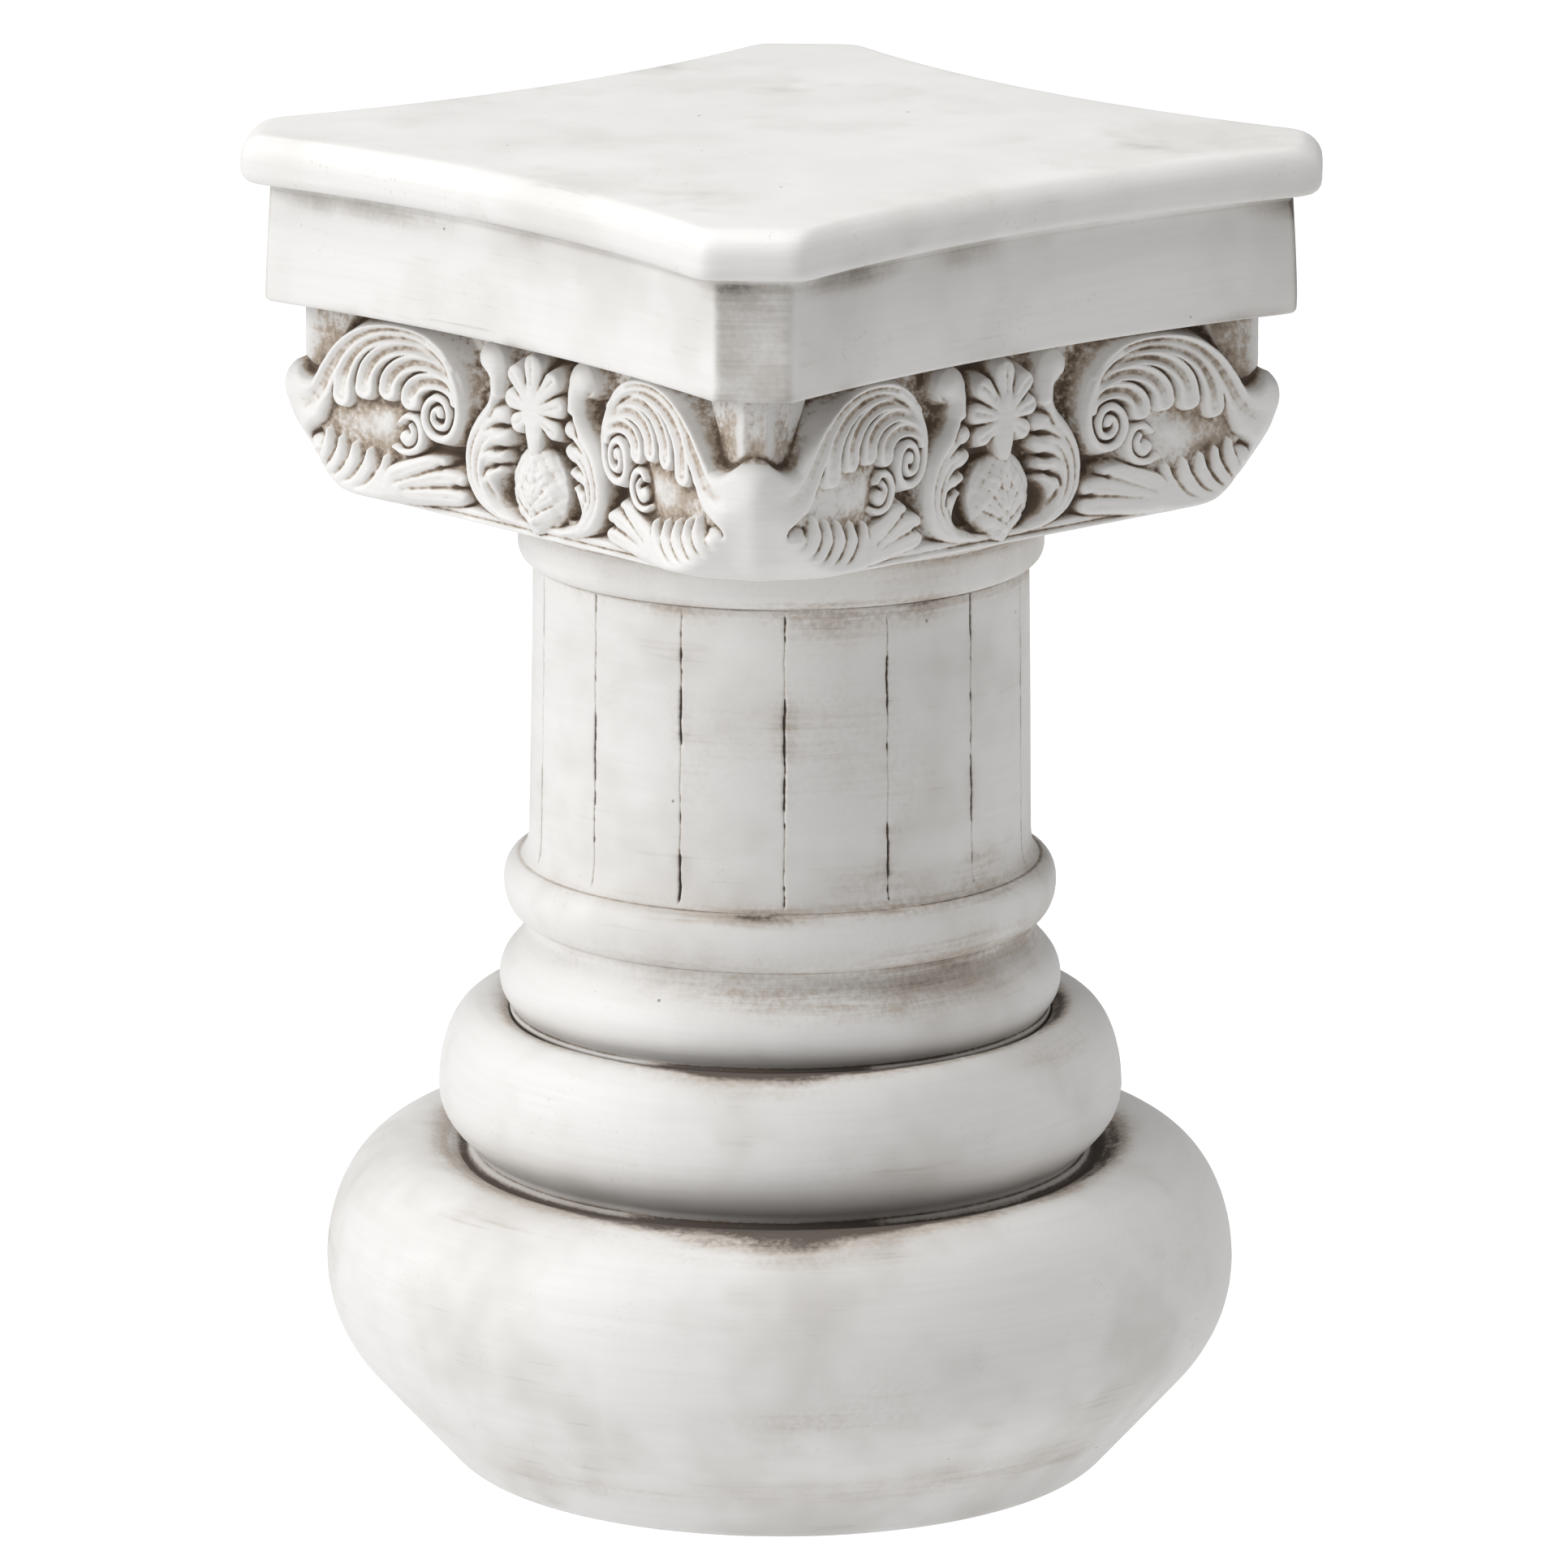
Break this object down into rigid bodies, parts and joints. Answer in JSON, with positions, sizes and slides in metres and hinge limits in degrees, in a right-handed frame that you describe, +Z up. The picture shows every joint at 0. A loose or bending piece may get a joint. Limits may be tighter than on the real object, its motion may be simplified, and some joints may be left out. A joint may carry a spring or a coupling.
{
  "type": "roman column",
  "caption": "Short cast column pedestal with a round bulging base, an incised shaft, a carved capital with scrolls and leaves, and a flat hollow-sided top slab.",
  "frame": {"origin": "centre of the underside, on the floor", "axes": "+Z up along the column's axis; the top slab's four hollow sides face +X, -X, +Y and -Y"},
  "size_m": [0.3114, 0.3116, 0.46],
  "materials": {
    "roman_column": "off-white brushed paint with a grey-brown wash in the creases, satin"
  },
  "bodies": {
    "root": {"roman_column": "roman_column"}
  },
  "joints": []
}
